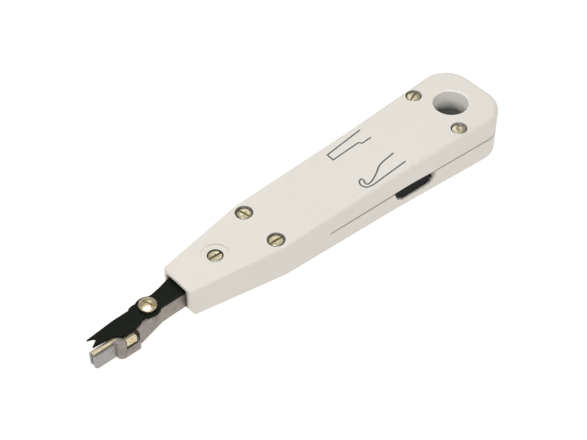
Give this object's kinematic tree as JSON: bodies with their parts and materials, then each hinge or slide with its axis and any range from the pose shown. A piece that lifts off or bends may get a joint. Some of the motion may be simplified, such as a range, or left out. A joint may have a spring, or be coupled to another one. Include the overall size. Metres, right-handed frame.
{
  "type": "punch down tool",
  "caption": "Punch down tool with a wedge-shaped two-shell grip, a sprung head with wire fork and scissors, and fold-out hook and spudger blades.",
  "frame": {"origin": "axis of the hanging hole, on the parting plane of the two casing shells", "axes": "+X from the fork to the tail along the tool, +Z along the hanging hole out of the face that carries the screw heads, +Y to the side of the fold-out spudger"},
  "size_m": [0.1782, 0.0328, 0.0204],
  "materials": {
    "casing_upper": "finely textured off-white moulded plastic with two printed tool outlines",
    "casing_lower": "finely textured off-white moulded plastic",
    "screw_brass": "pale plated brass, turned and slotted",
    "pivot_brass": "pale plated brass, domed and slotted",
    "insert_brass": "plain turned brass",
    "sensor_brass": "pale polished brass strip",
    "bright_steel": "ground steel",
    "spring_steel": "drawn spring wire and leaf",
    "fork_steel": "satin steel",
    "cast_zinc": "satin grey zinc casting",
    "black_steel": "blackened spring steel with a faint green cast",
    "tool_steel": "blackened steel plate",
    "print_ink": "dark grey pad print of the two tool outlines"
  },
  "bodies": {
    "handle": {"upper_casing": "casing_upper", "lower_casing": "casing_lower", "nose_screw": "screw_brass", "grip_screws": "screw_brass", "tail_screws": "screw_brass", "threaded_inserts": "insert_brass", "guide_sleeve": "bright_steel", "cam_plate": "bright_steel", "spring_seat": "bright_steel", "main_spring": "spring_steel", "hook_bush": "insert_brass", "spudger_bush": "insert_brass", "hook_washer": "spring_steel", "spudger_washer": "spring_steel"},
    "head": {"head_block": "cast_zinc", "insertion_fork": "fork_steel", "fork_pin": "bright_steel", "pivot_screw": "pivot_brass", "pivot_washer": "bright_steel", "pivot_nut": "insert_brass", "spring_rod": "bright_steel", "thrust_washer": "insert_brass", "blade_spring": "spring_steel", "blade_spring_pin": "insert_brass", "sensor_spring": "spring_steel"},
    "scissors": {"scissor_blade": "black_steel", "cam_follower": "bright_steel"},
    "sensor": {"wire_sensor": "sensor_brass", "sensor_rivet": "sensor_brass"},
    "hook": {"hook_tool": "tool_steel"},
    "spudger": {"spudger_tool": "tool_steel"}
  },
  "joints": [
    {"name": "head_slide", "type": "slide", "parent": "handle", "child": "head", "axis": [1, 0, 0], "range_m": [0, 0.006], "stiffness_N_per_m": 3000, "springref_m": -0.003, "deforming": ["main_spring"]},
    {"name": "scissor_pivot", "type": "hinge", "parent": "head", "child": "scissors", "pos_m": [-0.1392, -0.0013, 0.0036], "axis": [0, 0, 1], "range_deg": [0, 6.3], "deforming": ["blade_spring"]},
    {"name": "sensor_slide", "type": "slide", "parent": "head", "child": "sensor", "axis": [1, 0, 0], "range_m": [0, 0.0012], "stiffness_N_per_m": 300, "springref_m": -0.0005, "deforming": ["sensor_spring"]},
    {"name": "hook_fold", "type": "hinge", "parent": "handle", "child": "hook", "pos_m": [-0.0075, -0.01156, 0], "axis": [0, 0, 1], "range_deg": [0, 150]},
    {"name": "spudger_fold", "type": "hinge", "parent": "handle", "child": "spudger", "pos_m": [-0.0075, 0.01156, 0], "axis": [0, 0, -1], "range_deg": [0, 150]}
  ],
  "couplings": [
    {"joint": "scissor_pivot", "follows": "head_slide", "rad_per_m": 17.453}
  ]
}
